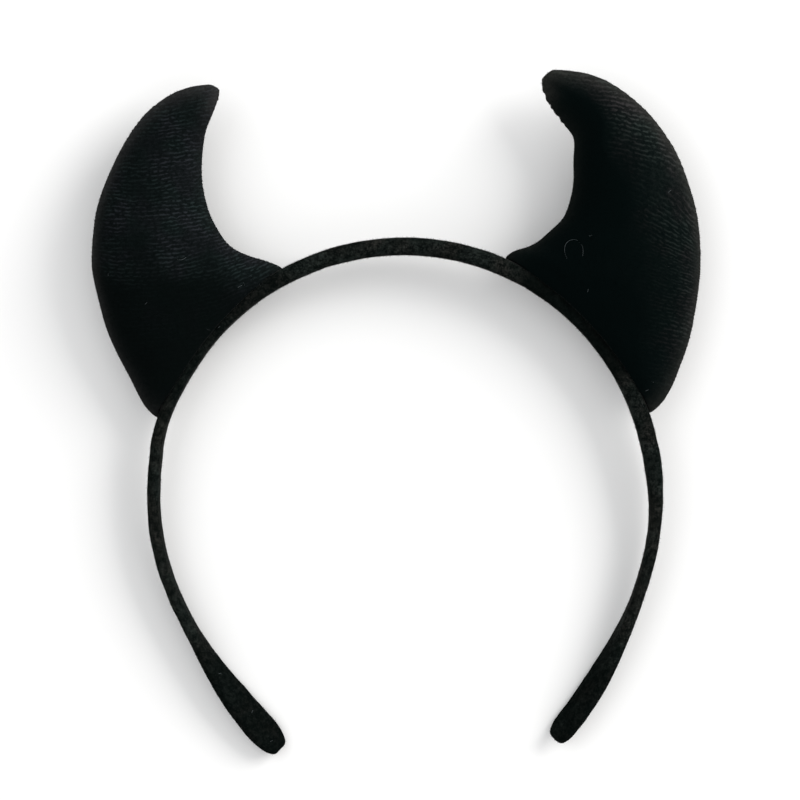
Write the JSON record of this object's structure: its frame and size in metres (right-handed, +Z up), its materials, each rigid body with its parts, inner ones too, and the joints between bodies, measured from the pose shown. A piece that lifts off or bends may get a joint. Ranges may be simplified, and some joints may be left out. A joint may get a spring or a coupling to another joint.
{
  "type": "devil horns headband",
  "caption": "Velvet-covered arched hair band with stuffed crescent devil horns sewn to its outer face, lying on its back.",
  "frame": {"origin": "middle of the footprint, on the surface that the headband lies on", "axes": "+Y from the ends of the arms towards the crown and the horns' tips, +X towards the right of the picture, +Z up out of the front of the headband"},
  "size_m": [0.17, 0.191, 0.0257],
  "materials": {
    "band_velvet": "short-pile stretch velvet, black",
    "horn_velvet": "finely ribbed stretch velvet, black with a cold teal cast"
  },
  "bodies": {
    "root": {"band": "band_velvet", "horn_left": "horn_velvet", "horn_right": "horn_velvet"}
  },
  "joints": []
}
